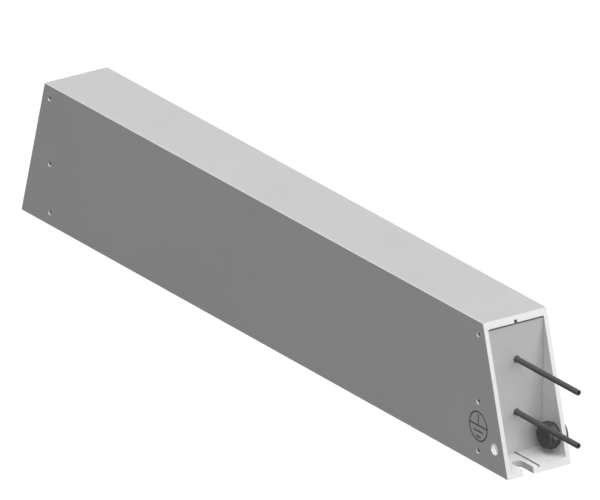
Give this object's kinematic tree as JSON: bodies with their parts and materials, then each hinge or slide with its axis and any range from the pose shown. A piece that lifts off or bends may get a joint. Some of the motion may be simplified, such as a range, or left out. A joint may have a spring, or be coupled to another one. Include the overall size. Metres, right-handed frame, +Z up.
{
  "type": "braking resistor",
  "caption": "Braking resistor in an extruded rectangular aluminium tube with slanted sawn ends, leads and earth point at one end, slots in the base for screws.",
  "frame": {"origin": "middle of the flat underside of the base", "axes": "+X along the tube towards the end with the leads, +Y towards the side wall with the earth stud, +Z up from the base"},
  "size_m": [0.4859, 0.0419, 0.08],
  "materials": {
    "aluminium": "extruded aluminium, plain, sawn at the ends",
    "end_plate": "milled aluminium, plain",
    "bush": "unglazed steatite",
    "seal": "poured high-temperature silicone",
    "sand": "pressed quartz sand",
    "mica": "pressed mica sheet",
    "ribbon": "nickel-chromium ribbon",
    "plated": "nickel-plated steel",
    "conductor": "stranded and tinned, dull",
    "insulation": "dark grey silicone",
    "black_steel": "blackened steel"
  },
  "bodies": {
    "root": {"housing": "aluminium", "terminal_end_plate": "end_plate", "blank_end_plate": "end_plate", "lead_bushes": "bush", "terminal_end_seal": "seal", "blank_end_seal": "seal", "left_filling": "sand", "right_filling": "sand", "left_mica_sheet": "mica", "right_mica_sheet": "mica", "upper_card": "mica", "lower_card": "mica", "upper_winding": "ribbon", "lower_winding": "ribbon", "link_strip": "plated", "element_rivets": "plated", "upper_lug": "plated", "lower_lug": "plated", "upper_lead_insulation": "insulation", "lower_lead_insulation": "insulation", "upper_lead_conductor": "conductor", "lower_lead_conductor": "conductor", "earth_stud": "black_steel", "earth_stud_washer": "black_steel", "earth_stud_nut": "black_steel", "earth_stud_cap": "black_steel"}
  },
  "joints": []
}
